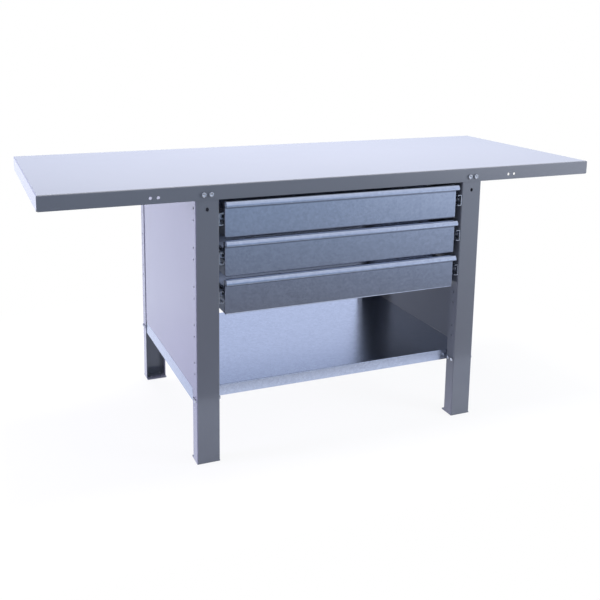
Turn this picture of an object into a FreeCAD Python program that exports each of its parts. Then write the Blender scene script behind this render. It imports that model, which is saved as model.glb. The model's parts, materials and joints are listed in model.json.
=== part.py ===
import FreeCAD, Part
import math
import os

# A steel workbench: a folded worktop on four channel legs, side panels, a galvanised lower shelf
# and three galvanised drawers on ball slides.
# Lengths are in millimetres. While the pieces are made, x runs from the middle to the right, y from the
# front face of the worktop to the back, and z up from the floor. Each piece is moved as it is saved, so
# that the origin lies on the floor under the middle of the whole bench.

# Worktop
top_length = 1800.0
top_depth = 700.0
bench_height = 840.0
top_edge = 44.0
top_sheet = 2.0
top_bend = 2.0
top_corner_cut = 5.0
bolt_drop = 27.5
bolt_spacing = 22.0
spare_offset = 150.0

# Stiffeners under the worktop
stiffener_height = 28.0
stiffener_crown = 50.0
stiffener_foot = 18.0
stiffener_sheet = 1.5
stiffener_end_gap = 20.0

# Legs
base_width = 950.0
leg_width = 70.0
leg_flange = 42.0
leg_sheet = 2.0
leg_bend = 1.5
leg_top_gap = 4.0
flange_hole_radius = 3.3
flange_hole_setback = 20.0
hole_pair_rise = 35.0
hole_rows = 5
top_hole_radius = 4.2
oval_hole_radius = 4.5
oval_hole_height = 11.5
oval_hole_drop = 71.0

# Foot plates
foot_thickness = 4.0
foot_tongue = 13.0
foot_hole_radius = 4.5
foot_hole_spacing_x = 40.0
foot_hole_spacing_y = 30.0

# Lower shelf
shelf_height = 220.0
shelf_sheet = 1.2
shelf_bend = 1.2
shelf_front_lip = 34.0
shelf_side_lip = 40.0
shelf_gap = 2.0
shelf_tab_length = 38.0
shelf_tab_height = 26.0
shelf_bolt_drop = 23.0
shelf_bolt_spacing = 20.0
shelf_relief_width = 8.0
shelf_relief_height = 15.0

# Side panels
panel_sheet = 1.2
panel_bend = 1.2
panel_lap = 14.0
panel_return = 15.0
panel_top_drop = 40.0
panel_foot_gap = 0.05

# Slides
slide_rows = 3
slide_pitch = 115.0
slide_top_drop = 103.0
slide_height = 35.0
slide_depth = 13.0
slide_sheet = 1.5
slide_bend = 1.0
slide_lip = 3.6
slide_end_gap = 4.0
runner_height = 20.0
runner_reach = 14.2
runner_front_gap = 28.0
cage_sheet = 0.8
cage_length = 150.0
cage_start = 250.0
ball_clearance = 0.3
ball_count = 6
buffer_length = 10.0
buffer_height = 17.0
running_gap = 0.3

# Drawers
drawer_gap = 18.0
drawer_setback = 7.0
drawer_front_height = 109.5
drawer_front_rise = 53.0
drawer_front_sheet = 1.2
drawer_sheet = 1.0
drawer_bend = 2.2
drawer_foot_bend = 3.4
drawer_back_gap = 50.0
drawer_side_height = 74.0
drawer_back_height = 101.0
drawer_hem = 8.0
drawer_return = 12.0
grip_reach = 18.0
grip_drop = 16.5
grip_nose = 12.5
grip_hem = 5.0
grip_hem_bend = 0.4

# Fasteners: thread radius, width across flats, head height and nut height
thread_clearance = 0.05
hole_clearance = 0.5
thread_end = 3.0
M8 = dict(radius=4.0, flats=13.0, head=5.3, nut=6.5)
M6 = dict(radius=3.0, flats=10.0, head=4.0, nut=5.0)
slide_screw_head_radius = 5.5
slide_screw_head = 1.8
M4 = dict(radius=2.0, flats=7.0, head=2.0, nut=3.2)
runner_screw_inset = 60.0

# Derived places
half_base = base_width / 2
leg_inner = half_base - leg_width
leg_middle = half_base - leg_width / 2
leg_face = top_sheet
leg_back = leg_face + leg_flange
leg_top = bench_height - top_sheet - leg_top_gap
hole_line = leg_face + flange_hole_setback
middle_y = top_depth / 2
slide_first = bench_height - slide_top_drop
bolt_height = bench_height - bolt_drop
shelf_front = leg_back + shelf_gap
shelf_half = half_base - leg_sheet
shelf_bolt_height = shelf_height - shelf_bolt_drop
panel_top = bench_height - panel_top_drop
drawer_half = leg_inner - drawer_gap
tray_half = drawer_half - drawer_front_sheet
tray_start = drawer_setback + drawer_front_sheet + max(drawer_bend, drawer_foot_bend)
drawer_back = top_depth - drawer_back_gap
runner_start = drawer_setback + drawer_return + runner_front_gap
channel_half = slide_height / 2 - slide_sheet
runner_half = runner_height / 2
ball_level = (channel_half + runner_half) / 2
ball_radius = (channel_half - runner_half) / 2 - ball_clearance
runner_edge = tray_half + runner_reach
cage_edge = runner_edge + 2 * running_gap
channel_mouth = leg_inner - slide_depth + slide_sheet
cage_lip = channel_mouth + running_gap
ball_line = (runner_edge + cage_lip + running_gap) / 2

# Front and back reach of the whole bench, which put the origin in the middle of its box
front_reach = grip_reach - drawer_setback
back_reach = top_depth + M8["head"]
origin_shift = FreeCAD.Vector(0, -(back_reach - front_reach) / 2, 0)

X_AXIS = FreeCAD.Vector(1, 0, 0)
Y_AXIS = FreeCAD.Vector(0, 1, 0)
Z_AXIS = FreeCAD.Vector(0, 0, 1)
MIDDLE = FreeCAD.Vector(0, middle_y, 0)


def save(name, shape):
    """Move a piece into the bench's frame and write it."""
    placed = shape.copy()
    placed.translate(origin_shift)
    placed.exportStep("parts/" + name + ".step")


def box(low, high):
    """A box between two corners."""
    size = [b - a for a, b in zip(low, high)]
    return Part.makeBox(size[0], size[1], size[2], FreeCAD.Vector(*low))


def group(solids):
    """Several separate solids in one node."""
    return Part.makeCompound(solids)


def to_right(shape):
    """The same piece on the other side of the bench."""
    return shape.mirror(MIDDLE, X_AXIS)


def to_back(shape):
    """The same piece at the other end, front or back, of the bench."""
    return shape.mirror(MIDDLE, Y_AXIS)


def four_corners(solids):
    """Front-left solids, repeated at all four legs."""
    left = solids + [to_back(solid) for solid in solids]
    return left + [to_right(solid) for solid in left]


def rounded_side(points, radii, place):
    """Edges along a line of 2-D points, with an arc of its own radius at each inner corner."""
    edges = []
    start = points[0]
    for index in range(1, len(points) - 1):
        before, corner, after = points[index - 1], points[index], points[index + 1]
        into = (corner - before).normalize()
        out = (after - corner).normalize()
        turn = math.acos(max(-1.0, min(1.0, into.dot(out))))
        run = radii[index] * math.tan(turn / 2)
        first = corner - into * run
        last = corner + out * run
        inward = (out - into).normalize()
        centre_distance = radii[index] / math.cos(turn / 2)
        through = corner + inward * (centre_distance - radii[index])
        edges.append(Part.LineSegment(place(start), place(first)).toShape())
        edges.append(Part.Arc(place(first), place(through), place(last)).toShape())
        start = last
    edges.append(Part.LineSegment(place(start), place(points[-1])).toShape())
    return edges


def folded(path, sheet, bend, place, travel):
    """Bent sheet: a path in a plane, thickened to its left, drawn along a line.

    The inside bend radius is one number, or one number for each corner.
    """
    bends = bend if isinstance(bend, list) else [bend] * (len(path) - 2)
    points = [FreeCAD.Vector(u, v, 0) for u, v in path]
    steps = [(b - a).normalize() for a, b in zip(points, points[1:])]
    sides = [FreeCAD.Vector(-step.y, step.x, 0) * sheet for step in steps]
    other = [points[0] + sides[0]]
    right_radii = [0.0]
    left_radii = [0.0]
    for index in range(1, len(points) - 1):
        other.append(points[index] + sides[index - 1] + sides[index])
        turns_left = steps[index - 1].cross(steps[index]).z > 0
        inside = bends[index - 1]
        right_radii.append(inside + sheet if turns_left else inside)
        left_radii.append(inside if turns_left else inside + sheet)
    other.append(points[-1] + sides[-1])
    right = rounded_side(points, right_radii + [0.0], place)
    left = rounded_side(other, left_radii + [0.0], place)
    start_cap = Part.LineSegment(place(other[0]), place(points[0])).toShape()
    end_cap = Part.LineSegment(place(points[-1]), place(other[-1])).toShape()
    outline = Part.Wire(Part.__sortEdges__(right + [end_cap] + left + [start_cap]))
    return Part.Face(outline).extrude(travel)


def folded_upright(path, sheet, bend, low, high):
    """Bent sheet drawn upwards from a path of (x, y) points."""
    return folded(path, sheet, bend, lambda p: FreeCAD.Vector(p.x, p.y, low), Z_AXIS * (high - low))


def folded_deep(path, sheet, bend, start, end):
    """Bent sheet drawn from the front to the back from a path of (x, z) points."""
    return folded(path, sheet, bend, lambda p: FreeCAD.Vector(p.x, start, p.y), Y_AXIS * (end - start))


def folded_across(path, sheet, bend, half_width):
    """Bent sheet drawn from left to right from a path of (y, z) points."""
    return folded(path, sheet, bend, lambda p: FreeCAD.Vector(-half_width, p.x, p.y), X_AXIS * (2 * half_width))


def rounded_block(low, high, radius):
    """A block whose four upper edges are rounded and meet in mitres."""
    block = box(low, high)
    upper = [edge for edge in block.Edges if edge.BoundBox.ZMin > (low[2] + high[2]) / 2]
    across = [edge for edge in upper if edge.BoundBox.XLength > edge.BoundBox.YLength]
    deep = [edge for edge in upper if edge.BoundBox.YLength > edge.BoundBox.XLength]
    return block.makeFillet(radius, across).common(block.makeFillet(radius, deep))


def folded_pan(low, high, sheet, bend):
    """A sheet folded down on all four sides, welded at its corners and open below."""
    inner_low = (low[0] + sheet, low[1] + sheet, low[2] - sheet)
    inner_high = (high[0] - sheet, high[1] - sheet, high[2] - sheet)
    return rounded_block(low, high, bend + sheet).cut(rounded_block(inner_low, inner_high, bend))


def rod(point, direction, radius, length):
    """A cylinder from a point along a direction."""
    return Part.makeCylinder(radius, length, FreeCAD.Vector(*point), direction)


def hexagon(point, direction, flats, height, side):
    """A six-sided prism with one corner towards side."""
    upright = side.cross(direction)
    reach = flats / math.sqrt(3)
    corners = []
    for step in range(7):
        angle = math.radians(60 * step)
        corners.append(point + side * (reach * math.cos(angle)) + upright * (reach * math.sin(angle)))
    return Part.Face(Part.makePolygon(corners)).extrude(direction * height)


def hex_bolt(point, inward, size, grip):
    """A forged bolt: its head stands on point, against inward, and its thread runs inward past a nut."""
    point = FreeCAD.Vector(*point)
    outward = inward * -1
    head = hexagon(point, outward, size["flats"], size["head"], Z_AXIS)
    crown_radius = size["flats"] / 2
    flare = crown_radius + size["head"] * math.tan(math.radians(60))
    head = head.common(Part.makeCone(flare, crown_radius, size["head"], point, outward))
    dish_depth = size["head"] / 6
    dish = Part.makeCone(crown_radius * 0.45, crown_radius * 0.7, dish_depth,
                         point + outward * (size["head"] - dish_depth), outward)
    length = grip + size["nut"] + thread_end
    shank = Part.makeCylinder(size["radius"], length, point, inward)
    return head.cut(dish).fuse(shank)


def hex_nut(point, inward, size):
    """A nut whose near face stands on point."""
    point = FreeCAD.Vector(*point)
    body = hexagon(point, inward, size["flats"], size["nut"], Z_AXIS)
    return body.cut(Part.makeCylinder(size["radius"] + thread_clearance, size["nut"], point, inward))


def flat_screw(point, inward, radius, head_radius, head, grip, nut):
    """A low-headed screw: its head stands on point, against inward, and its thread runs inward past a nut."""
    point = FreeCAD.Vector(*point)
    cap = Part.makeCylinder(head_radius, head, point, inward * -1)
    return cap.fuse(Part.makeCylinder(radius, grip + nut + radius / 2, point, inward))


def bolt_columns(middle):
    """The x places of a pair of worktop bolts."""
    return [middle - bolt_spacing / 2, middle + bolt_spacing / 2]


def worktop():
    """The folded worktop, with its bolt holes and trimmed lower corners."""
    low = (-top_length / 2, 0, bench_height - top_edge)
    high = (top_length / 2, top_depth, bench_height)
    pan = folded_pan(low, high, top_sheet, top_bend)
    cuts = []
    hole_radius = M8["radius"] + hole_clearance
    for middle in (leg_middle, leg_middle + spare_offset):
        for column in bolt_columns(middle):
            for side in (-1, 1):
                cuts.append(rod((side * column, -top_sheet, bolt_height), Y_AXIS, hole_radius,
                                top_depth + 2 * top_sheet))
    reach = top_corner_cut
    corner = box((low[0] - reach, -reach, low[2] - reach), (low[0] + reach, 2 * reach, low[2] + reach))
    rounder = rod((low[0] + reach, -reach, low[2] + reach), Y_AXIS, reach, 3 * reach)
    cuts.extend(four_corners([corner.cut(rounder)]))
    return pan.cut(cuts)


def stiffener(middle):
    """A hat section under the worktop, from end to end."""
    under = bench_height - top_sheet
    half = stiffener_crown / 2
    outer = half + stiffener_foot
    floor = under - stiffener_height + stiffener_sheet
    path = [(middle + outer, under), (middle + half, under), (middle + half, floor),
            (middle - half, floor), (middle - half, under), (middle - outer, under)]
    return folded_across(path, stiffener_sheet, stiffener_sheet, top_length / 2 - top_sheet - stiffener_end_gap)


def hole_levels():
    """Heights of the flange holes: a pair for each slide row and for the spare rows below."""
    levels = []
    for row in range(hole_rows):
        level = slide_first - row * slide_pitch
        levels.extend([level, level + hole_pair_rise])
    return levels


def shelf_bolt_lines():
    """The y places of the two shelf bolts in a front flange."""
    return [hole_line - shelf_bolt_spacing / 2, hole_line + shelf_bolt_spacing / 2]


def leg():
    """Front-left leg: a channel, open to the back."""
    path = [(-half_base, leg_back), (-half_base, leg_face), (-leg_inner, leg_face), (-leg_inner, leg_back)]
    channel = folded_upright(path, leg_sheet, leg_bend, foot_thickness, leg_top)
    start = -half_base - leg_sheet
    length = leg_width + 2 * leg_sheet
    cuts = [rod((start, hole_line, level), X_AXIS, flange_hole_radius, length) for level in hole_levels()]
    cuts.append(rod((start, hole_line, max(hole_levels())), X_AXIS, top_hole_radius, length))
    for line in shelf_bolt_lines():
        cuts.append(rod((start, line, shelf_bolt_height), X_AXIS, flange_hole_radius, length))
    for column in bolt_columns(leg_middle):
        cuts.append(rod((-column, 0, bolt_height), Y_AXIS, M8["radius"] + hole_clearance, 2 * leg_face + leg_sheet))
    oval_middle = bench_height - oval_hole_drop
    oval_half = oval_hole_height / 2 - oval_hole_radius
    for level in (oval_middle - oval_half, oval_middle + oval_half):
        cuts.append(rod((-leg_middle, 0, level), Y_AXIS, oval_hole_radius, 2 * leg_face + leg_sheet))
    cuts.append(box((-leg_middle - oval_hole_radius, 0, oval_middle - oval_half),
                    (-leg_middle + oval_hole_radius, 2 * leg_face + leg_sheet, oval_middle + oval_half)))
    return channel.cut(cuts)


def foot_plate():
    """Front-left foot plate, with four anchor holes."""
    back = leg_back + foot_tongue
    plate = box((-half_base, leg_face, 0), (-leg_inner, back, foot_thickness))
    middle = (leg_face + back) / 2
    cuts = []
    for across in (-0.5, 0.5):
        for along in (-0.5, 0.5):
            spot = (-leg_middle + across * foot_hole_spacing_x, middle + along * foot_hole_spacing_y, 0)
            cuts.append(rod(spot, Z_AXIS, foot_hole_radius, foot_thickness))
    return plate.cut(cuts)


def side_panel():
    """Left side panel inside two legs' outer flanges, turned in at its top, down to the shelf's rounded edge."""
    outer = -shelf_half
    shelf_corner = shelf_sheet + shelf_bend
    inset = max(shelf_corner - panel_sheet, 0)
    foot = shelf_height - shelf_corner + math.sqrt(shelf_corner ** 2 - inset ** 2) + panel_foot_gap
    path = [(outer + panel_return, panel_top), (outer, panel_top), (outer, foot)]
    return folded_deep(path, panel_sheet, panel_bend, leg_back - panel_lap, top_depth - leg_back + panel_lap)


def shelf():
    """Lower shelf: a pan with two tabs at each leg, which run into the leg and lie on its flanges."""
    bottom = shelf_height - shelf_side_lip
    front_bottom = shelf_height - shelf_front_lip
    back = top_depth - shelf_front
    pan = folded_pan((-shelf_half, shelf_front, bottom), (shelf_half, back, shelf_height), shelf_sheet, shelf_bend)
    inner = shelf_half - shelf_sheet - shelf_bend
    trim = box((-inner, 0, bottom - shelf_sheet), (inner, top_depth, front_bottom))
    tab_start = shelf_front - shelf_tab_length
    tab_end = shelf_front + shelf_relief_width + shelf_sheet
    outer_tab = box((-shelf_half, tab_start, bottom), (-shelf_half + shelf_sheet, tab_end, bottom + shelf_tab_height))
    flange_inside = leg_inner + leg_sheet
    inner_tab = box((-flange_inside - shelf_sheet, tab_start, front_bottom),
                    (-flange_inside, shelf_front + shelf_sheet, front_bottom + shelf_tab_height))
    relief_low = shelf_height - shelf_relief_height
    relief = box((-shelf_half - shelf_sheet, shelf_front - shelf_gap, relief_low),
                 (-shelf_half + shelf_relief_width, shelf_front + shelf_relief_width, shelf_height + shelf_sheet))
    body = pan.cut([trim]).fuse(four_corners([outer_tab, inner_tab])).cut(four_corners([relief]))
    holes = []
    for line in shelf_bolt_lines():
        spot = (-half_base - leg_sheet, line, shelf_bolt_height)
        holes.append(rod(spot, X_AXIS, flange_hole_radius, leg_width + 2 * leg_sheet))
    return body.cut(four_corners(holes)).removeSplitter()


def worktop_bolts():
    """Two bolts at the front-left leg, and their nuts, repeated at each leg."""
    grip = top_sheet + leg_sheet
    bolts = [hex_bolt((-column, 0, bolt_height), Y_AXIS, M8, grip) for column in bolt_columns(leg_middle)]
    nuts = [hex_nut((-column, grip, bolt_height), Y_AXIS, M8) for column in bolt_columns(leg_middle)]
    return group(four_corners(bolts)), group(four_corners(nuts))


def shelf_bolts():
    """Bolts through both flanges of the front-left leg and the shelf's tabs, repeated at each leg."""
    grip = leg_sheet + shelf_sheet
    bolts = []
    nuts = []
    for line in shelf_bolt_lines():
        bolts.append(hex_bolt((-half_base, line, shelf_bolt_height), X_AXIS, M6, grip))
        nuts.append(hex_nut((-half_base + grip, line, shelf_bolt_height), X_AXIS, M6))
        bolts.append(hex_bolt((-leg_inner, line, shelf_bolt_height), X_AXIS * -1, M6, grip))
        nuts.append(hex_nut((-leg_inner - grip, line, shelf_bolt_height), X_AXIS * -1, M6))
    return group(four_corners(bolts)), group(four_corners(nuts))


def slide_levels():
    """Heights of the slides, from the top drawer down."""
    return [slide_first - row * slide_pitch for row in range(slide_rows)]


def slide_channel(level):
    """Left outer slide member: a C open towards the drawer, its two edges turned in."""
    mouth = -leg_inner + slide_depth
    top = level + slide_height / 2
    bottom = level - slide_height / 2
    path = [(mouth, top - slide_lip), (mouth, top), (-leg_inner, top), (-leg_inner, bottom), (mouth, bottom),
            (mouth, bottom + slide_lip)]
    channel = folded_deep(path, slide_sheet, slide_bend, slide_end_gap, top_depth - slide_end_gap)
    hole_start = -leg_inner - slide_sheet
    hole = rod((hole_start, hole_line, level), X_AXIS, flange_hole_radius, 3 * slide_sheet)
    return channel.cut([hole, to_back(hole)])


def slide_runner(level):
    """Left inner slide member, on the drawer's side."""
    edge = -runner_edge
    path = [(edge, level - runner_half), (-tray_half, level - runner_half), (-tray_half, level + runner_half),
            (edge, level + runner_half)]
    runner = folded_deep(path, slide_sheet, slide_bend, runner_start, drawer_back)
    return runner.cut(runner_screw_holes(level))


def runner_screw_lines():
    """The y places of the screws that hold an inner slide member."""
    return [runner_start + runner_screw_inset, drawer_back - runner_screw_inset]


def runner_screw_holes(level):
    """Holes for those screws through the inner slide member and the drawer's left side."""
    spots = [(-tray_half - 2 * slide_sheet, line, level) for line in runner_screw_lines()]
    return [rod(spot, X_AXIS, M4["radius"] + hole_clearance, 3 * slide_sheet + drawer_sheet) for spot in spots]


def ball_spots(level):
    """Centres of the balls of a left slide, above and below the inner member."""
    step = cage_length / ball_count
    spots = []
    for index in range(ball_count):
        line = cage_start + (index + 0.5) * step
        spots.append(FreeCAD.Vector(-ball_line, line, level - ball_level))
        spots.append(FreeCAD.Vector(-ball_line, line, level + ball_level))
    return spots


def ball_cage(level):
    """Left ball cage: a thin U with a hole round each ball."""
    leg_half = ball_level + cage_sheet / 2
    outer = -cage_edge - cage_sheet
    path = [(-cage_lip, level + leg_half), (outer, level + leg_half), (outer, level - leg_half),
            (-cage_lip, level - leg_half)]
    cage = folded_deep(path, cage_sheet, cage_sheet / 4, cage_start, cage_start + cage_length)
    hole_radius = ball_radius + running_gap / 2
    return cage.cut([rod(spot - Z_AXIS * cage_sheet, Z_AXIS, hole_radius, 2 * cage_sheet)
                     for spot in ball_spots(level)])


def balls(level):
    """Balls of a left slide."""
    return group([Part.makeSphere(ball_radius, spot) for spot in ball_spots(level)])


def slide_fixings():
    """Screws and nuts of the outer members, and the rubber buffers behind the inner ones."""
    screws = []
    nuts = []
    buffers = []
    grip = slide_sheet + leg_sheet
    seat = -leg_inner + slide_sheet
    for level in slide_levels():
        screw = flat_screw((seat, hole_line, level), X_AXIS * -1, M6["radius"], slide_screw_head_radius,
                           slide_screw_head, grip, M6["nut"])
        nut = hex_nut((seat - grip, hole_line, level), X_AXIS * -1, M6)
        screws.extend(four_corners([screw]))
        nuts.extend(four_corners([nut]))
        start = drawer_back + running_gap
        block = box((seat, start, level - buffer_height / 2),
                    (-channel_mouth, start + buffer_length, level + buffer_height / 2))
        buffers.extend([block, to_right(block)])
    return group(screws), group(nuts), group(buffers)


def drawer_front(level):
    """Drawer front: turned back at its sides and its foot, with a grip lip along its top."""
    top = level + drawer_front_rise
    foot = top - drawer_front_height
    face = drawer_setback
    back = face + drawer_front_sheet
    corner = drawer_front_sheet + drawer_bend
    foot_corner = drawer_front_sheet + drawer_foot_bend
    path = [(-drawer_half, face + drawer_return), (-drawer_half, face), (drawer_half, face),
            (drawer_half, face + drawer_return)]
    plate = folded_upright(path, drawer_front_sheet, drawer_bend, foot + foot_corner, top - 2 * corner)
    lip_front = face - grip_reach
    lip_path = [(back, top - 2 * corner), (back, top), (lip_front, top), (lip_front, top - grip_drop),
                (lip_front + grip_hem, top - grip_drop)]
    lip = folded_across(lip_path, drawer_front_sheet, [drawer_bend, grip_nose, grip_hem_bend], drawer_half)
    foot_path = [(face + drawer_return, foot + drawer_front_sheet), (back, foot + drawer_front_sheet),
                 (back, foot + 2 * foot_corner)]
    hem = folded_across(foot_path, drawer_front_sheet, drawer_foot_bend, drawer_half - corner)
    return plate.fuse([lip, hem]).removeSplitter()


def drawer_floor(level):
    """Height of the underside of a drawer's tray."""
    return level + drawer_front_rise - drawer_front_height + drawer_front_sheet


def drawer_tray(level):
    """Drawer bottom and sides, folded from one sheet, with inward hems."""
    floor = drawer_floor(level)
    top = floor + drawer_side_height
    path = [(-tray_half + drawer_hem, top), (-tray_half, top), (-tray_half, floor), (tray_half, floor),
            (tray_half, top), (tray_half - drawer_hem, top)]
    tray = folded_deep(path, drawer_sheet, drawer_bend, tray_start, drawer_back)
    holes = runner_screw_holes(level)
    return tray.cut(holes + [to_right(hole) for hole in holes])


def drawer_rear(level):
    """Drawer back, turned forward along both sides, and higher than these between their hems."""
    floor = drawer_floor(level)
    low = floor + drawer_sheet + drawer_bend
    high = floor + drawer_side_height - 2 * drawer_sheet - drawer_bend
    half = tray_half - drawer_sheet
    path = [(half, drawer_back - drawer_return), (half, drawer_back), (-half, drawer_back),
            (-half, drawer_back - drawer_return)]
    rise_half = half - drawer_hem
    rise = box((-rise_half, drawer_back - drawer_sheet, low), (rise_half, drawer_back, floor + drawer_back_height))
    return folded_upright(path, drawer_sheet, drawer_bend, low, high).fuse(rise).removeSplitter()


def runner_screws(level):
    """Screws and nuts that hold both inner members on one drawer."""
    seat = -tray_half - slide_sheet
    grip = slide_sheet + drawer_sheet
    left = []
    for line in runner_screw_lines():
        left.append(flat_screw((seat, line, level), X_AXIS, M4["radius"], M4["flats"] / 2, M4["head"], grip,
                               M4["nut"]))
        left.append(hex_nut((seat + grip, line, level), X_AXIS, M4))
    return group(left + [to_right(solid) for solid in left])


def save_frame():
    """Write the worktop, legs, feet, panels, shelf and their fasteners."""
    save("worktop", worktop())
    save("stiffener_front", stiffener(top_depth / 3))
    save("stiffener_rear", stiffener(top_depth * 2 / 3))
    for name, make in (("leg", leg), ("foot_plate", foot_plate)):
        front_left = make()
        rear_left = to_back(front_left)
        save(name + "_front_left", front_left)
        save(name + "_rear_left", rear_left)
        save(name + "_front_right", to_right(front_left))
        save(name + "_rear_right", to_right(rear_left))
    panel = side_panel()
    save("side_panel_left", panel)
    save("side_panel_right", to_right(panel))
    save("lower_shelf", shelf())
    bolts, nuts = worktop_bolts()
    save("worktop_bolts", bolts)
    save("worktop_nuts", nuts)
    bolts, nuts = shelf_bolts()
    save("shelf_bolts", bolts)
    save("shelf_nuts", nuts)


def save_drawers():
    """Write the three drawers and their slides."""
    screws, nuts, buffers = slide_fixings()
    save("slide_screws", screws)
    save("slide_nuts", nuts)
    save("slide_buffers", buffers)
    slide_pieces = (("slide", slide_channel), ("runner", slide_runner), ("ball_cage", ball_cage), ("balls", balls))
    for number, level in enumerate(slide_levels(), start=1):
        prefix = "drawer_%d_" % number
        save(prefix + "front", drawer_front(level))
        save(prefix + "tray", drawer_tray(level))
        save(prefix + "back", drawer_rear(level))
        save(prefix + "runner_screws", runner_screws(level))
        for name, make in slide_pieces:
            left = make(level)
            save(prefix + name + "_left", left)
            save(prefix + name + "_right", to_right(left))


os.makedirs("parts", exist_ok=True)
save_frame()
save_drawers()
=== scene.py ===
# %% [markdown]
# # A steel workbench, dressed in Blender
# The solids of this bench come from CAD: a folded worktop, channel legs, side panels, a lower shelf and
# three drawers on ball slides. This lesson gives each of them its finish, adds the small things that a
# maker would see up close, and sets up the light and the camera. Lengths are in metres.

# %% Load the frame
import bpy
import json
import math
import numpy as np
from mathutils import Matrix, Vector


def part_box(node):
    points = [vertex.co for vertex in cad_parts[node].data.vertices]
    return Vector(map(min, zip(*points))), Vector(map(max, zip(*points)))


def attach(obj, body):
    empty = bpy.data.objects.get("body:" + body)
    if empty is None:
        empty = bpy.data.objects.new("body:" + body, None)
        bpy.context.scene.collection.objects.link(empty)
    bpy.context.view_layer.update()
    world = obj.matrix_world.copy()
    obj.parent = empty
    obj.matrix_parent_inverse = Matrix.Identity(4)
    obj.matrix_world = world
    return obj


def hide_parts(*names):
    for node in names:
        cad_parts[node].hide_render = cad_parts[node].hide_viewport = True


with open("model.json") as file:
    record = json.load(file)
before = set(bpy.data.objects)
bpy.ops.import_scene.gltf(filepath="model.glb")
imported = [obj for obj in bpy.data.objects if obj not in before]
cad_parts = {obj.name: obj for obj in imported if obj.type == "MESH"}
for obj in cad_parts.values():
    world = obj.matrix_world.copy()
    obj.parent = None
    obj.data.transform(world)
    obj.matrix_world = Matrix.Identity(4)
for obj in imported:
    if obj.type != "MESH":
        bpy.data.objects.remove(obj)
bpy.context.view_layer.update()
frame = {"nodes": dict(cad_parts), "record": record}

# %% [markdown]
# Shader maths reads best as plain arithmetic. `Tone` wraps one socket, so that `0.3 + 0.1 * grain` adds
# the Math nodes by itself. The nodes could also be wired by hand in the shader editor, but then the formula
# of a finish would be hard to read.

# %% A socket that can be added and multiplied
class Tone:
    """One output socket. Arithmetic on it adds a Math node to its tree."""

    def __init__(self, finish, socket):
        self.finish = finish
        self.socket = socket

    def math(self, operation, *values):
        return self.finish.node("ShaderNodeMath", {"operation": operation}, dict(enumerate(values)))

    def __add__(self, other):
        return self.math("ADD", self, other)

    def __radd__(self, other):
        return self.math("ADD", other, self)

    def __sub__(self, other):
        return self.math("SUBTRACT", self, other)

    def __rsub__(self, other):
        return self.math("SUBTRACT", other, self)

    def __mul__(self, other):
        return self.math("MULTIPLY", self, other)

    def __rmul__(self, other):
        return self.math("MULTIPLY", other, self)

    def __pow__(self, other):
        return self.math("POWER", self, other)

    def __abs__(self):
        return self.math("ABSOLUTE", self)

    def __mod__(self, other):
        return self.math("FLOORED_MODULO", self, other)

    def clamp(self, low, high):
        return self.math("MINIMUM", self.math("MAXIMUM", self, low), high)


# %% [markdown]
# `Finish` owns a node tree and makes every other kind of node with one method, which takes the kind of node,
# its settings, and the values or links of its sockets. The few methods after it are only short names for
# nodes that come up again and again.

# %% A node tree and its nodes
class Finish:
    """A node tree, with one method that makes any node."""

    def __init__(self, tree):
        self.tree = tree
        self.tree.nodes.clear()

    def node(self, kind, settings=None, inputs=None, out=0):
        """A new node, given back as one of its outputs, or as several where out is a tuple."""
        made = self.tree.nodes.new(kind)
        for key, value in (settings or {}).items():
            setattr(made, key, value)
        for key, value in (inputs or {}).items():
            if isinstance(value, Tone):
                self.tree.links.new(value.socket, made.inputs[key])
            else:
                made.inputs[key].default_value = value
        if isinstance(out, tuple):
            return tuple(Tone(self, made.outputs[number]) for number in out)
        return Tone(self, made.outputs[out]) if made.outputs else made

    def mix(self, factor, first, second):
        """A colour between two colours."""
        return self.node("ShaderNodeMix", {"data_type": "RGBA"}, {0: factor, 6: first, 7: second}, out=2)

    def noise(self, place, scale, detail):
        """A field of soft lumps, about 1 / scale metres wide."""
        return self.node("ShaderNodeTexNoise", None, {"Vector": place, "Scale": scale, "Detail": detail})

    def bump(self, height, strength, depth):
        """A normal that leans as if the surface rose and fell by this depth in metres."""
        return self.node("ShaderNodeBump", None, {"Height": height, "Strength": strength, "Distance": depth})

    def fade(self, value, start, end, shape="SMOOTHSTEP"):
        """Nought at the start, one at the end, and a step of this shape between them."""
        return self.node("ShaderNodeMapRange", {"interpolation_type": shape}, {0: value, 1: start, 2: end})

    def coat(self, sockets):
        """A Principled shader with these sockets, on the output."""
        shader = self.node("ShaderNodeBsdfPrincipled", None, sockets)
        self.node("ShaderNodeOutputMaterial", None, {"Surface": shader})


def new_finish(name):
    """A material, its tree and the Object coordinates, which every pattern here is laid on."""
    material = bpy.data.materials.new(name)
    material.use_nodes = True
    finish = Finish(material.node_tree)
    return material, finish, finish.node("ShaderNodeTexCoord", out=3)


def colour(red, green, blue):
    """A colour with full alpha, in linear light."""
    return (red, green, blue, 1.0)


finishes = {}


def keep_finish(slot, material):
    """Keep a finish under the name of its material slot."""
    finishes[slot] = material
    print(slot, "nodes:", len(material.node_tree.nodes))


# %% [markdown]
# The legs, the worktop and the panels are powder coated: a semi-gloss grey with a faint orange-peel skin.
# The skin could be modelled as a displacement, but its lumps are only about a millimetre wide, so a bump is
# enough. A slow drift of tone and gloss keeps wide sheets from looking like flat cards.

# %% Grey powder coat
PAINT = colour(0.145, 0.154, 0.172)
PAINT_PALE = colour(0.161, 0.171, 0.189)
PAINT_ROUGH = 0.10
PAINT_DULLER = 0.04
PAINT_IOR = 1.5
DRIFT_SCALE = 3.0
PEEL_SCALE = 700.0
PEEL_STRENGTH = 0.08
PEEL_DEPTH = 0.0002


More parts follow.
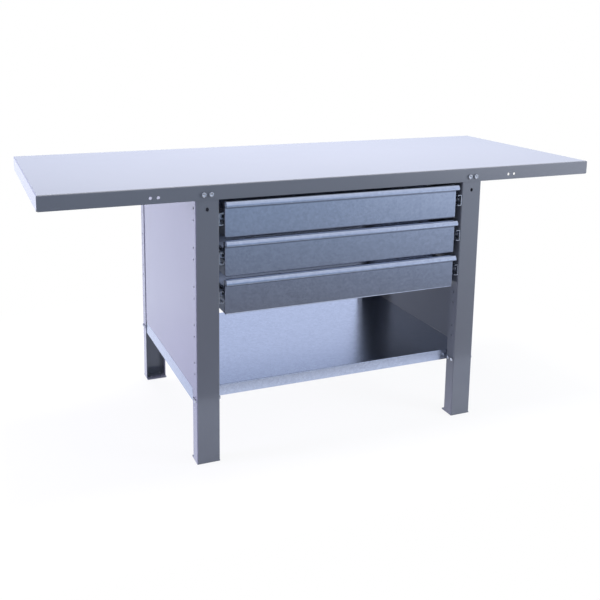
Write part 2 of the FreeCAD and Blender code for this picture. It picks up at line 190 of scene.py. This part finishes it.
def grey_paint():
    material, finish, place = new_finish("grey powder coat")
    drift = finish.noise(place, DRIFT_SCALE, detail=3.0)
    peel = finish.noise(place, PEEL_SCALE, detail=1.0)
    finish.coat({
        "Base Color": finish.mix(drift, PAINT, PAINT_PALE),
        "Roughness": PAINT_ROUGH + PAINT_DULLER * drift,
        "Normal": finish.bump(peel, PEEL_STRENGTH, PEEL_DEPTH),
        "IOR": PAINT_IOR,
    })
    return material


keep_finish("grey_paint", grey_paint())

# %% [markdown]
# Drawers have a grip lip along the top of the front, and below it lies a dark line of painted shade, where
# the lip shades the sheet. It could be painted on a picture, but a height is all it needs: the lips repeat
# from drawer to drawer, so the height below the nearest lip is the remainder of one division. A second test
# keeps the line on the fronts.

# %% Painted shade under the grip lips
# painted shade: the dark tone that the drawer fronts take just below each grip lip
LIP_SHADE_TONE = colour(0.24, 0.26, 0.31)
GRIP_DROP = 0.0165
GRIP_REACH = 0.018
FRONT_PLAY = 0.004
LIP_SHADE_FULL = 0.0065
LIP_SHADE_END = 0.0095


def painted_shade_below_grips(finish, place):
    """Share of painted shade: one under a lip, nought 9.5 mm below it. The height below it is (first lip -
    z) modulo the pitch.
    """
    low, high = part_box("drawer_1_front")
    pitch = high[2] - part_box("drawer_2_front")[1][2]
    y, z = finish.node("ShaderNodeSeparateXYZ", None, {0: place}, out=(1, 2))
    below = (high[2] - GRIP_DROP - z) % pitch
    on_front = y.math("COMPARE", y, low[1] + GRIP_REACH, FRONT_PLAY)
    print("pitch of the drawers:", round(pitch, 4))
    return on_front * finish.fade(below, LIP_SHADE_END, LIP_SHADE_FULL, "LINEAR")


# %% [markdown]
# Drawers and shelf are galvanised sheet. Zinc freezes into crystals, the spangle, and each crystal is a
# little lighter or darker, smoother or duller than its neighbours. A photograph of such a sheet would repeat
# over a wide shelf, so the cells of a Voronoi texture stand for the crystals. Clouds and rolling lines lie
# over them, and since thin sheet is never quite flat, a slow bump bends what it mirrors.

# %% Galvanised sheet
ZINC_DARK = colour(0.40, 0.44, 0.53)
ZINC_LIGHT = colour(0.54, 0.585, 0.685)
ZINC_ROUGH = 0.20
ZINC_DULLER = 0.04
SPANGLE_SCALE = 150.0
CLOUD_SCALE = 30.0
ROLLING_STRETCH = (2.0, 160.0, 160.0)
ROLLING_SCALE = 2.0
WAVE_SCALE = 2.5
WAVE_STRENGTH = 0.25
WAVE_DEPTH = 0.004
SPANGLE_SHARE = 0.40
CLOUD_SHARE = 0.40
ROLLED_SHARE = 0.20


def galvanised():
    """The tone is a weighted sum of spangle, clouds and rolling lines. The last two also dull the gloss."""
    material, finish, place = new_finish("galvanised sheet")
    crystal = finish.node("ShaderNodeTexVoronoi", None, {"Vector": place, "Scale": SPANGLE_SCALE}, out=1)
    spangle = finish.node("ShaderNodeSeparateColor", None, {"Color": crystal})
    cloud = finish.noise(place, CLOUD_SCALE, detail=4.0)
    stretched = finish.node("ShaderNodeMapping", None, {"Vector": place, "Scale": ROLLING_STRETCH})
    rolled = finish.noise(stretched, ROLLING_SCALE, detail=2.0)
    wave = finish.noise(place, WAVE_SCALE, detail=1.0)
    tone = (SPANGLE_SHARE * spangle + CLOUD_SHARE * cloud + ROLLED_SHARE * rolled).clamp(0.0, 1.0)
    zinc = finish.mix(tone, ZINC_DARK, ZINC_LIGHT)
    finish.coat({
        # painted shade: below each grip lip the zinc is darkened towards a dark tone
        "Base Color": finish.mix(painted_shade_below_grips(finish, place), zinc, LIP_SHADE_TONE),
        "Roughness": ZINC_ROUGH + ZINC_DULLER * cloud + ZINC_DULLER * rolled,
        "Metallic": 1.0,
        "Normal": finish.bump(wave, WAVE_STRENGTH, WAVE_DEPTH),
    })
    return material


keep_finish("galvanised_sheet", galvanised())

# %% [markdown]
# Slides and fasteners are bright zinc plate, the cages plain rolled steel and the balls polished. Each of
# them could have a function of its own, but they differ only in tone, gloss and grain, so one function
# makes them all. A row of the table gives a name, a dark and a light tone, the roughness and the scale of
# the grain.

# %% Small metal pieces
STAIN_WIDTH = 12
GRAIN_DULLER = 0.12
METALS = {
    "zinc_slide": ("bright zinc of the slides", (0.74, 0.76, 0.80), (0.88, 0.90, 0.93), 0.20, 260.0),
    "zinc_fastener": ("zinc of the bolts", (0.52, 0.53, 0.55), (0.72, 0.73, 0.75), 0.20, 420.0),
    "cage_steel": ("rolled steel of the cages", (0.32, 0.32, 0.33), (0.46, 0.46, 0.46), 0.30, 300.0),
    "ball_steel": ("polished ball steel", (0.62, 0.62, 0.63), (0.75, 0.75, 0.76), 0.06, 500.0),
}


def plated(name, dark, light, rough, scale):
    """Stains 12 times as wide as the grain shift the tone, and the grain dulls the gloss."""
    material, finish, place = new_finish(name)
    grain = finish.noise(place, scale, detail=3.0)
    stain = finish.noise(place, scale / STAIN_WIDTH, detail=2.0)
    finish.coat({
        "Base Color": finish.mix(stain, colour(*dark), colour(*light)),
        "Roughness": rough + GRAIN_DULLER * grain,
        "Metallic": 1.0,
    })
    return material


for slot, look in METALS.items():
    keep_finish(slot, plated(*look))

# %% [markdown]
# The buffers behind the drawers are black rubber: matt, with a fine grain that hardly shows. Then every
# solid gets the finish that the record of the part names for it. It could be done by hand for each solid,
# but a loop over the record cannot miss one.

# %% Rubber, and a finish for every solid
RUBBER = colour(0.012, 0.012, 0.013)
RUBBER_PALE = colour(0.03, 0.03, 0.03)
RUBBER_ROUGH = 0.6
RUBBER_DULLER = 0.2
RUBBER_SCALE = 900.0


def rubber():
    material, finish, place = new_finish("buffer rubber")
    grain = finish.noise(place, RUBBER_SCALE, detail=2.0)
    finish.coat({
        "Base Color": finish.mix(grain, RUBBER, RUBBER_PALE),
        "Roughness": RUBBER_ROUGH + RUBBER_DULLER * grain,
    })
    return material


keep_finish("rubber", rubber())
for entry in frame["record"]["subparts"]:
    node = frame["nodes"][entry["node"]]
    node.data.materials.clear()
    node.data.materials.append(finishes[entry["material_slot"]])
print("finishes:", len(finishes))

# %% [markdown]
# Up close, fasteners and welds tell a real bench from a block model. All of them are stacks of rings: a ring
# is a row of points round an axis, with a reach for every angle and a height along the axis, and quads join
# it to the next ring. The Screw modifier would turn the round ones on a lathe, but a hexagon, a thread and a
# cross recess change with the angle, and here each of them is one formula.

# %% Stacks of rings
def angles(count):
    """Angles of the points of one ring."""
    return np.arange(count) * (2 * math.pi / count)


def stack_points(reach, height, seats):
    """Seat + height * axis + reach * (cos(angle) * up + sin(angle) * (axis x up)), for all seats at once."""
    spot, axis, up = (np.array(part, dtype=float)[:, None, None, :] for part in zip(*seats))
    angle = angles(reach.shape[1])[:, None]
    turned = np.cos(angle) * up + np.sin(angle) * np.cross(axis, up)
    return (spot + height[..., None] * axis + reach[..., None] * turned).reshape(-1, 3)


def stack_faces(rings, count, looped):
    """Quads from each ring to the next. A looped stack meets its own start, any other gets two caps."""
    here = np.arange(rings if looped else rings - 1)[:, None] * count
    after = (here + count) % (rings * count)
    spot = np.arange(count)[None, :]
    beside = (spot + 1) % count
    quads = np.stack([here + spot, after + spot, after + beside, here + beside], axis=-1).reshape(-1, 4)
    return [quads] if looped else [quads, np.stack([spot[0], rings * count - 1 - spot[0]])]


# %% [markdown]
# A fitting is one piece made of such stacks. Each bolt could be an object of its own, but one piece for
# all bolts of a kind matches the solids and keeps the outliner short. It is shaded smooth but for its sharp
# edges, it rides on the body that carries it, and where it is a finer form of a solid, it takes its place.

# %% One piece from several stacks
SHARP_EDGE = math.radians(35)


def fitting(name, body, slot, stacks, *nodes):
    """One piece of several stacks, each given as reach, height, looped and its seats."""
    points, faces, start = [], [], 0
    for reach, height, looped, seats in stacks:
        points.append(stack_points(reach, height, seats))
        starts = start + np.arange(len(seats)) * reach.size
        for table in stack_faces(*reach.shape, looped):
            faces += (table + starts[:, None, None]).reshape(-1, table.shape[1]).tolist()
        start += len(seats) * reach.size
    mesh = bpy.data.meshes.new(name)
    mesh.from_pydata(np.concatenate(points).tolist(), [], faces)
    mesh.shade_smooth()
    mesh.set_sharp_from_angle(angle=SHARP_EDGE)
    mesh.materials.append(finishes[slot])
    piece = bpy.data.objects.new(name, mesh)
    bpy.context.scene.collection.objects.link(piece)
    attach(piece, body)
    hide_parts(*nodes)
    print(name, "points:", len(mesh.vertices), "faces:", len(mesh.polygons))


# %% [markdown]
# A forged bolt has a dished head, a 30 degree chamfer that cuts its six corners, a washer face and a rolled
# thread. The thread is a triangle wave that climbs one pitch in each turn. It could be cut by sweeping a
# notch along a helix, but as a wave it stays one closed surface with the head.

# %% Hexagon bolts
M8 = {"flats": 0.013, "head": 0.0053, "nut": 0.0065, "radius": 0.004, "pitch": 0.00125}
M6 = {"flats": 0.010, "head": 0.004, "nut": 0.005, "radius": 0.003, "pitch": 0.001}
M4 = {"flats": 0.007, "head": 0.002, "nut": 0.0032, "radius": 0.002, "pitch": 0.0007}
SIDES = 48
CHAMFER = math.tan(math.radians(30))
CHAMFER_STEPS = (1 / 3, 2 / 3, 1)
CROWN = 0.47
DISH_REACH = 0.40
DISH_HEIGHT = 5 / 6
DISH_RIM = 0.62
WASHER_FACE = 0.0003
THREAD_DEPTH = 0.6
THREAD_TIP = 0.7
THREAD_STEPS = 8
THREAD_END = 0.003


def grids(rows):
    """Rows of reach and height, each a number or one value per angle, as two grids."""
    return tuple(np.stack([part + np.zeros(SIDES) for part in column]) for column in zip(*rows))


def hexagon(flats):
    """Half the width over the cosine of the angle to the nearest flat, with a corner at angle nought."""
    return flats / 2 / np.cos(angles(SIDES) % (math.pi / 3) - math.pi / 6)


def thread(size, high, low):
    """Reach is radius - 0.6 * pitch * |2 * part(height / pitch + turns) - 1|, within a cone at the tip."""
    pitch = size["pitch"]
    heights = np.linspace(high, low, round((high - low) / pitch * THREAD_STEPS) + 1)
    turns = angles(SIDES) / (2 * math.pi)
    wave = np.abs(2 * ((heights[:, None] / pitch + turns) % 1) - 1)
    cone = size["radius"] - THREAD_TIP * pitch + (heights[:, None] - low)
    return list(zip(np.minimum(size["radius"] - THREAD_DEPTH * pitch * wave, cone), heights))


def bolt(size, grip):
    """Dish, crown, chamfer, flats, washer face and shank, then the thread from inside the nut to the tip."""
    head = size["head"]
    crown = CROWN * size["flats"]
    corner = hexagon(size["flats"])
    rows = [(DISH_REACH * crown, head * DISH_HEIGHT), (DISH_RIM * crown, head), (crown, head)]
    for share in CHAMFER_STEPS:
        out = crown + share * (corner - crown)
        rows.append((out, head - CHAMFER * (out - crown)))
    rows += [(corner, WASHER_FACE), (crown, WASHER_FACE), (crown, 0.0), (size["radius"], 0.0)]
    inside = -grip - size["nut"]
    return *grids(rows + thread(size, inside + size["pitch"], inside - THREAD_END)), False


# %% [markdown]
# A nut is a hexagon with both ends chamfered round a plain bore. Its stack is looped, so that the bore leads
# back to the first ring and the nut closes on itself, with no boolean to cut the hole.

# %% Hexagon nuts
NUT_PLAY = 0.00005
BORE_CHAMFER = 0.1


def nut(size, grip):
    """Near face, chamfer, flats, chamfer, far face and the bore back to the near face."""
    crown = CROWN * size["flats"]
    corner = hexagon(size["flats"])
    cut = CHAMFER * (corner - crown)
    bore = size["radius"] + NUT_PLAY
    flare = BORE_CHAMFER * bore
    near = -grip
    far = near - size["nut"]
    outside = [(bore + flare, near), (crown, near), (corner, near - cut), (corner, far + cut), (crown, far)]
    inside = [(bore + flare, far), (bore, far + flare), (bore, near - flare)]
    return *grids(outside + inside), True


# %% [markdown]
# Most fittings sit on the legs, which are channels: a web, two flanges and a row of holes in each flange.
# Their places follow from the boxes of the legs, so nothing has to be fitted by eye, and a fitting stays on
# its leg when the bench is made in another size.

# %% Lines of the legs
UP = (0.0, 0.0, 1.0)
SIDE = {"left": -1.0, "right": 1.0}
END = {"front": -1.0, "rear": 1.0}
HOLE_SETBACK = 0.020


def middle(node, axis):
    """The middle of a node's box along one axis."""
    low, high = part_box(node)
    return (low[axis] + high[axis]) / 2


def leg_lines(end, side):
    """The x of a leg's middle and of its two flanges, and the y of its middle, its web and its holes."""
    leg = "leg_" + end + "_" + side
    low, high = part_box(leg)
    web = high[1] if end == "rear" else low[1]
    return {
        "middle x": middle(leg, 0),
        "outer": high[0] if side == "right" else low[0],
        "inner": low[0] if side == "right" else high[0],
        "middle y": middle(leg, 1),
        "web": web,
        "holes": web - END[end] * HOLE_SETBACK,
    }


legs = {(end, side): leg_lines(end, side) for end in END for side in SIDE}
print("legs:", len(legs), "outer flanges at x:", [round(leg["outer"], 4) for leg in legs.values()])

# %% [markdown]
# Each leg carries two bolts through the worktop's edge, and two through the shelf's tab in each flange. An
# array modifier could repeat them, but the legs face four ways, so a loop over the legs is shorter.

# %% Bolts of the worktop and of the shelf
BOLT_SPACING = 0.022
TAB_SPACING = 0.020
TOP_GRIP = 0.004
TAB_GRIP = 0.0032

top_seats = []
tab_seats = []
for (end, side), leg in legs.items():
    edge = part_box("worktop")[int(end == "rear")][1]
    for step in (-0.5, 0.5):
        spot = (leg["middle x"] + step * BOLT_SPACING, edge, middle("worktop_bolts", 2))
        top_seats.append((spot, (0.0, END[end], 0.0), UP))
        for flange, way in (("outer", SIDE[side]), ("inner", -SIDE[side])):
            spot = (leg[flange], leg["holes"] + step * TAB_SPACING, middle("shelf_bolts", 2))
            tab_seats.append((spot, (way, 0.0, 0.0), UP))
for held, size, grip, seats in (("worktop", M8, TOP_GRIP, top_seats), ("shelf", M6, TAB_GRIP, tab_seats)):
    fitting(held + "_hexagon_bolts", "frame", "zinc_fastener", [(*bolt(size, grip), seats)], held + "_bolts")
    fitting(held + "_hexagon_nuts", "frame", "zinc_fastener", [(*nut(size, grip), seats)], held + "_nuts")

# %% [markdown]
# The slides are held by low screws with a cross recess, because a hexagon head would foul the runner. The
# recess is a depth that falls off with the distance from the nearer arm of the cross, so the head stays one
# closed surface. A boolean with a driver-shaped cutter would do it too, at the price of long thin faces.

# %% A cross-recessed screw
HEAD_RINGS = 16
HEAD_START = 0.05
HEAD_ROUND = 0.5
RECESS_DEPTH = 0.65
RECESS_ARM = 0.11
RECESS_END = 0.62
RECESS_RAMP = 0.08


def cross_screw(size, head_reach, head, grip):
    """Height is head * (1 - 0.5 * share^4) less a recess, and the recess is
    0.65 * head * exp(-(distance from the nearer arm / width of an arm)^4) out to 0.62 of the head."""
    share = np.linspace(HEAD_START, 1.0, HEAD_RINGS)[:, None]
    reach = share * head_reach + np.zeros(SIDES)
    arm = np.minimum(np.abs(reach * np.cos(angles(SIDES))), np.abs(reach * np.sin(angles(SIDES))))
    inside = np.clip((RECESS_END - share) / RECESS_RAMP, 0.0, 1.0)
    recess = RECESS_DEPTH * head * np.exp(-(arm / (RECESS_ARM * head_reach)) ** 4) * inside
    height = head * (1 - HEAD_ROUND * share ** 4) - recess
    rows = list(zip(reach, height)) + [(head_reach, 0.0), (size["radius"], 0.0)]
    low = -grip - size["nut"]
    return *grids(rows + thread(size, low + size["pitch"], low - size["radius"] / 2)), False


# %% [markdown]
# Screws hold the outer members of the slides on the legs, and smaller ones hold the runners on the walls of
# the drawers. The second kind moves with its drawer, so each drawer gets a piece of its own.

# %% Screws of the slides and runners
DRAWERS = ("drawer_1", "drawer_2", "drawer_3")
SLIDE_SHEET = 0.0015
LEG_SHEET = 0.002
TRAY_SHEET = 0.001
SLIDE_HEAD_REACH = 0.0055
SLIDE_HEAD = 0.0018
RUNNER_INSET = 0.060

slide_seats = []
for (end, side), leg in legs.items():
    for drawer in DRAWERS:
        spot = (leg["inner"] - SIDE[side] * SLIDE_SHEET, leg["holes"], middle(drawer + "_slide_" + side, 2))
        slide_seats.append((spot, (-SIDE[side], 0.0, 0.0), UP))
slide_grip = SLIDE_SHEET + LEG_SHEET
slide_screw = cross_screw(M6, SLIDE_HEAD_REACH, SLIDE_HEAD, slide_grip)
fitting("slide_cross_screws", "frame", "zinc_fastener", [(*slide_screw, slide_seats)], "slide_screws")
fitting("slide_hexagon_nuts", "frame", "zinc_fastener", [(*nut(M6, slide_grip), slide_seats)], "slide_nuts")

runner_grip = SLIDE_SHEET + TRAY_SHEET
runner_screw = cross_screw(M4, M4["flats"] / 2, M4["head"], runner_grip)
for drawer in DRAWERS:
    seats = []
    for side in SIDE:
        runner = drawer + "_runner_" + side
        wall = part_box(drawer + "_tray")[int(side == "right")][0] + SIDE[side] * SLIDE_SHEET
        low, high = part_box(runner)
        for line in (low[1] + RUNNER_INSET, high[1] - RUNNER_INSET):
            seats.append(((wall, line, middle(runner, 2)), (SIDE[side], 0.0, 0.0), UP))
    fitting(drawer + "_cross_screws", drawer, "zinc_fastener",
            [(*runner_screw, seats), (*nut(M4, runner_grip), seats)], drawer + "_runner_screws")

# %% [markdown]
# The legs are welded to their foot plates along the inside of the channel, and the paint covers the beads. A
# bead is a stack of rings along the seam, thick in the middle and closed at its ends. A smooth tube would
# look like a wire laid in the corner, so it gets the ripples that a welder's steps leave.

# %% Weld beads at the feet
BEAD_REACH = 0.0022
BEAD_LIFT = 0.0008
BEAD_SIDES = 24
BEAD_TIP = 0.999
RIPPLE = 0.0024
RIPPLE_STEPS = 6
RIPPLE_SHARE = 0.07
RIPPLE_LAG = 0.0006
WEB_BEAD = 0.056
FLANGE_BEAD = 0.030


def bead(length):
    """Reach is 2.2 mm * (1 - |place|^6)^0.5 * (1 + 0.07 * ripple). The ripple is
    sin(2 pi * (along + lag) / 2.4 mm), and the lag is 0.6 mm * cos(angle - 45 degrees)."""
    place = np.linspace(BEAD_TIP, -BEAD_TIP, round(length / RIPPLE * RIPPLE_STEPS))[:, None]
    along = place * length / 2 + np.zeros(BEAD_SIDES)
    lag = RIPPLE_LAG * np.cos(angles(BEAD_SIDES) - math.pi / 4)
    ripple = np.sin(2 * math.pi * (along + lag) / RIPPLE)
    return BEAD_REACH * (1 + RIPPLE_SHARE * ripple) * np.sqrt(1 - np.abs(place) ** 6), along, False


web_seats = []
flange_seats = []
for (end, side), leg in legs.items():
    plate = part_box("foot_plate_" + end + "_" + side)[1][2] + BEAD_LIFT
    inset = LEG_SHEET + BEAD_LIFT
    web_seats.append(((leg["middle x"], leg["web"] - END[end] * inset, plate), (1.0, 0.0, 0.0), UP))
    for flange, way in (("outer", -SIDE[side]), ("inner", SIDE[side])):
        flange_seats.append(((leg[flange] + way * inset, leg["middle y"], plate), (0.0, 1.0, 0.0), UP))
beads = [(*bead(WEB_BEAD), web_seats), (*bead(FLANGE_BEAD), flange_seats)]
fitting("foot_weld_beads", "frame", "grey_paint", beads)

# %% [markdown]
# Resistance welds hold the stiffeners under the worktop and the fronts of the drawers. Each of them leaves a
# small round mark with a raised rim. A bump could hint at it, but a turned profile also shows in the mesh.

# %% Spot welds
MILLIMETRE = 0.001
WELD_SIDES = 16
WELD_PROFILE = ((0.3, 0.04), (0.62, 0.06), (0.8, 0.20), (0.9, 0.12), (1.0, 0.0), (0.9, -0.3))
STIFFENER_SHEET = 0.0015
STIFFENER_FOOT = 0.009
STIFFENER_WELD = 0.0035
STIFFENER_MARGIN = 0.05
STIFFENER_ROW = 17
FRONT_LAP = 0.0037
FRONT_WELD = 0.003
FRONT_SHARES = (0.2, 0.5, 0.8)


def spot_weld(reach):
    """A turned profile of reach and height: a flat middle, a rim 0.2 mm high and a foot inside the sheet."""
    share, height = np.array(WELD_PROFILE).T[:, :, None]
    ring = np.ones(WELD_SIDES)
    return share * reach * ring, height * MILLIMETRE * ring, False


spots = []
for stiffener in ("stiffener_front", "stiffener_rear"):
    low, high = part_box(stiffener)
    for line in (low[1] + STIFFENER_FOOT, high[1] - STIFFENER_FOOT):
        for place in np.linspace(low[0] + STIFFENER_MARGIN, high[0] - STIFFENER_MARGIN, STIFFENER_ROW):
            spots.append(((place, line, high[2] - STIFFENER_SHEET), (0.0, 0.0, -1.0), (1.0, 0.0, 0.0)))
fitting("stiffener_spot_welds", "frame", "grey_paint", [(*spot_weld(STIFFENER_WELD), spots)])

for drawer in DRAWERS:
    low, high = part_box(drawer + "_tray")
    spots = []
    for side in SIDE:
        wall = (high[0] if side == "right" else low[0]) - SIDE[side] * TRAY_SHEET
        for share in FRONT_SHARES:
            spot = (wall, low[1] + FRONT_LAP, low[2] + share * (high[2] - low[2]))
            spots.append((spot, (-SIDE[side], 0.0, 0.0), UP))
    fitting(drawer + "_spot_welds", drawer, "galvanised_sheet", [(*spot_weld(FRONT_WELD), spots)])

# %% [markdown]
# The bench stands on a sheet of pale floor that ends a little way in front of it, as studio paper does.
# To the camera the sheet is white, with a faint shadow of the bench, and the shadow's share fades out with
# the distance from the legs, so that no edge of the sheet shows. Shiny pieces mirror a bright pale blue, a
# little darker beside the bench, where its shadow lies. Light that bounces off it sees a plain pale grey. A
# plain matt sheet would need far more light to come out white, and that light would bleach the bench.

# %% Floor
WHITE = colour(1.0, 1.0, 1.0)
FLOOR_FRONT = -0.76
FLOOR_FAR = 12.0
FLOOR_DROP = 0.0005
FLOOR_GREY = colour(0.42, 0.43, 0.46)
FLOOR_SEEN = colour(0.76, 0.77, 0.80)
MIRRORED_FAR = colour(1.10, 1.17, 1.34)
MIRRORED_NEAR = colour(0.80, 0.86, 1.07)
SHADOW_SHARE = 0.11
SHADOW_FADE = (0.10, 0.90)
BESIDE_FADE = (0.0, 0.05)
STAND_HALF = (0.55, 0.40)


def pale_floor():
    """White with a share of matt paper. The share falls to nothing 0.9 m outside the stand."""
    material, finish, place = new_finish("pale floor")
    x, y = finish.node("ShaderNodeSeparateXYZ", None, {0: place}, out=(0, 1))
    aside = (abs(x) - STAND_HALF[0]).clamp(0.0, FLOOR_FAR)
    before = (abs(y) - STAND_HALF[1]).clamp(0.0, FLOOR_FAR)
    near = 1.0 - finish.fade((aside * aside + before * before) ** 0.5, *SHADOW_FADE)
    eye, mirror = finish.node("ShaderNodeLightPath", out=(0, 3))
    seen = (eye + mirror).clamp(0.0, 1.0)
    mirrored = finish.mix(finish.fade(aside, *BESIDE_FADE, "LINEAR") * near, MIRRORED_FAR, MIRRORED_NEAR)
    shown = finish.mix(eye, mirrored, WHITE)
    paper = finish.node("ShaderNodeEmission", None, {"Color": shown, "Strength": 1.0})
    matt = finish.node("ShaderNodeBsdfDiffuse", None, {"Color": finish.mix(seen, FLOOR_GREY, FLOOR_SEEN)})
    share = seen * (1.0 - SHADOW_SHARE * near)
    surface = finish.node("ShaderNodeMixShader", None, {0: share, 1: matt, 2: paper})
    finish.node("ShaderNodeOutputMaterial", None, {"Surface": surface})
    return material


def lay_floor():
    mesh = bpy.data.meshes.new("floor")
    x, y = np.meshgrid([-FLOOR_FAR, FLOOR_FAR], [FLOOR_FRONT, FLOOR_FAR])
    points = np.stack([x, y, np.full_like(x, -FLOOR_DROP)], axis=-1).reshape(-1, 3)
    mesh.from_pydata(points.tolist(), [], [(0, 1, 3, 2)])
    mesh.materials.append(pale_floor())
    sheet = bpy.data.objects.new("floor", mesh)
    bpy.context.scene.collection.objects.link(sheet)
    print("floor ends", -FLOOR_FRONT, "m in front of the middle")


lay_floor()

# %% [markdown]
# The room has one colour on each of its sides, and a ray that flies between two sides gets a blend: the
# squares of a direction's three parts add up to one, so they serve as the shares. The bench stands before a
# bright wall, which the worktop and the shelf mirror. The side behind the camera is bright high up and dim
# further down. Below it lies a dark strip, then pale ground, and the drawers mirror both past the front edge
# of the floor. A camera ray that meets no piece sees plain white. A picture of a real studio would also do,
# but here each tone can be set by itself.

# %% Room
ROOM = {
    "left": (0.42, 0.40, 0.52),
    "right": (0.98, 1.05, 1.26),
    "back": (0.795, 0.88, 1.16),
    "top": (0.75, 0.80, 0.90),
}
FRONT_HIGH = colour(0.80, 0.87, 1.08)
FRONT_LEVEL = colour(0.36, 0.48, 0.655)
DARK_STRIP = colour(0.155, 0.125, 0.12)
GROUND = colour(0.65, 0.68, 0.75)
HIGH_BAND = (0.0, 0.35)
STRIP_BAND = (-0.22, -0.34)
GROUND_BAND = (-0.46, -0.62)


def room():
    """The sum of side colour times share, with the dark strip and then the ground over its lower part."""
    world = bpy.data.worlds.new("room")
    world.use_nodes = True
    finish = Finish(world.node_tree)
    way = finish.node("ShaderNodeTexCoord", out=0)
    x, y, z = finish.node("ShaderNodeSeparateXYZ", None, {0: way}, out=(0, 1, 2))
    front = finish.mix(finish.fade(z, *HIGH_BAND), FRONT_LEVEL, FRONT_HIGH)
    sides = [
        (-1.0 * x, ROOM["left"]),
        (x, ROOM["right"]),
        (-1.0 * y, front),
        (y, ROOM["back"]),
        (z, ROOM["top"]),
    ]
    light = (0.0, 0.0, 0.0)
    for part, tone in sides:
        share = part.clamp(0.0, 1.0) ** 2.0
        wall = finish.node("ShaderNodeVectorMath", {"operation": "SCALE"}, {0: tone, "Scale": share})
        light = finish.node("ShaderNodeVectorMath", {"operation": "ADD"}, {0: light, 1: wall})
    light = finish.mix(finish.fade(z, *STRIP_BAND), light, DARK_STRIP)
    light = finish.mix(finish.fade(z, *GROUND_BAND), light, GROUND)
    eye = finish.node("ShaderNodeLightPath", out=0)
    shown = finish.mix(eye, light, WHITE)
    sky = finish.node("ShaderNodeBackground", None, {"Color": shown, "Strength": 1.0})
    finish.node("ShaderNodeOutputWorld", None, {"Surface": sky})
    bpy.context.scene.world = world
    print("room sides:", len(sides))


room()

# %% [markdown]
# Six soft lamps shape the bench. Four of them light matt surfaces only: one overhead, a low one on the left
# for the side panel, a weak one behind, and a small one at the right front, which lets the front edge of the
# worktop grow lighter to the right. Two weak strips only show in shiny surfaces, as bright lines along the
# folds and the front edge. A lamp could do both jobs, but then the worktop would mirror it as a white patch.
# A row of the table gives place, target, width and height, watts, tint, and the surfaces that see the lamp.

# %% Lamps
LAMPS = {
    "overhead": ((0.0, 0.35, 3.0), (0.0, 0.35, 0.8), (1.4, 1.4), 186.0, (1.0, 0.93, 0.90), "matt"),
    "left": ((-3.0, 0.0, 0.62), (-0.4, 0.0, 0.5), (0.9, 0.9), 111.0, (0.73, 0.645, 1.0), "matt"),
    "behind": ((-0.35, 1.5, 0.5), (0.47, 0.0, 0.35), (0.6, 0.6), 11.0, (1.0, 0.95, 0.86), "matt"),
    "right front": ((1.5, -1.5, 1.1), (0.65, -0.35, 0.8), (0.7, 0.7), 17.0, (0.95, 0.95, 1.0), "matt"),
    "right strip": ((2.5, -2.75, 0.52), (0.6, -0.35, 0.82), (2.0, 0.5), 2.5, (0.95, 0.95, 1.0), "shiny"),
    "high strip": ((1.2, -1.0, 3.1), (1.2, -0.36, 0.7), (2.4, 0.5), 1.3, (1.0, 0.98, 0.95), "shiny"),
}


def aimed(place, turn, tilt, roll=0.0):
    """A place and a way to look: turned clockwise from the back wall, tilted above level, then rolled."""
    return (Matrix.Translation(place) @ Matrix.Rotation(-turn, 4, "Z")
            @ Matrix.Rotation(math.pi / 2 + tilt, 4, "X") @ Matrix.Rotation(roll, 4, "Z"))


def lamp(name, place, target, size, watts, tint, surfaces):
    """An area lamp that faces a target. It lights matt surfaces, or it shows in shiny ones."""
    light = bpy.data.lights.new(name, "AREA")
    light.shape = "RECTANGLE"
    light.size, light.size_y = size
    light.energy = watts
    light.color = tint
    holder = bpy.data.objects.new(name, light)
    bpy.context.scene.collection.objects.link(holder)
    holder.visible_camera = False
    holder.visible_glossy = surfaces == "shiny"
    holder.visible_diffuse = surfaces == "matt"
    x, y, z = np.array(target) - np.array(place)
    holder.matrix_world = aimed(place, math.atan2(x, y), math.atan2(z, math.hypot(x, y)))


for name, settings in LAMPS.items():
    lamp(name, *settings)
print("lamps:", ", ".join(LAMPS))

# %% [markdown]
# The photograph is a crop, so the centre of the lens lies above the middle of the frame. The camera's
# place and turn were fitted to the bench's straight edges, and its shift takes up the crop. Tilting the
# camera to the middle of the frame instead would make the legs lean more than they do.

# %% Camera
CAMERA_PLACE = (-1.1031, -2.51571, 1.27091)
CAMERA_TURN = math.radians(22.3856)
CAMERA_TILT = math.radians(-10.5958)
CAMERA_ROLL = math.radians(0.6252)
FOCAL_PIXELS = 826.861
LENS_CENTRE = (283.885, 182.669)
PICTURE_WIDTH = 600.0
SENSOR_WIDTH = 36.0


def aim_camera():
    lens = bpy.data.cameras.new("camera")
    lens.sensor_width = SENSOR_WIDTH
    lens.lens = SENSOR_WIDTH * FOCAL_PIXELS / PICTURE_WIDTH
    lens.shift_x = (PICTURE_WIDTH / 2 - LENS_CENTRE[0]) / PICTURE_WIDTH
    lens.shift_y = (LENS_CENTRE[1] - PICTURE_WIDTH / 2) / PICTURE_WIDTH
    holder = bpy.data.objects.new("camera", lens)
    bpy.context.scene.collection.objects.link(holder)
    holder.matrix_world = aimed(CAMERA_PLACE, CAMERA_TURN, CAMERA_TILT, CAMERA_ROLL)
    bpy.context.scene.camera = holder
    print("lens", round(lens.lens, 2), "shift", round(lens.shift_x, 4), round(lens.shift_y, 4))


aim_camera()
bpy.context.scene.view_settings.view_transform = "Standard"
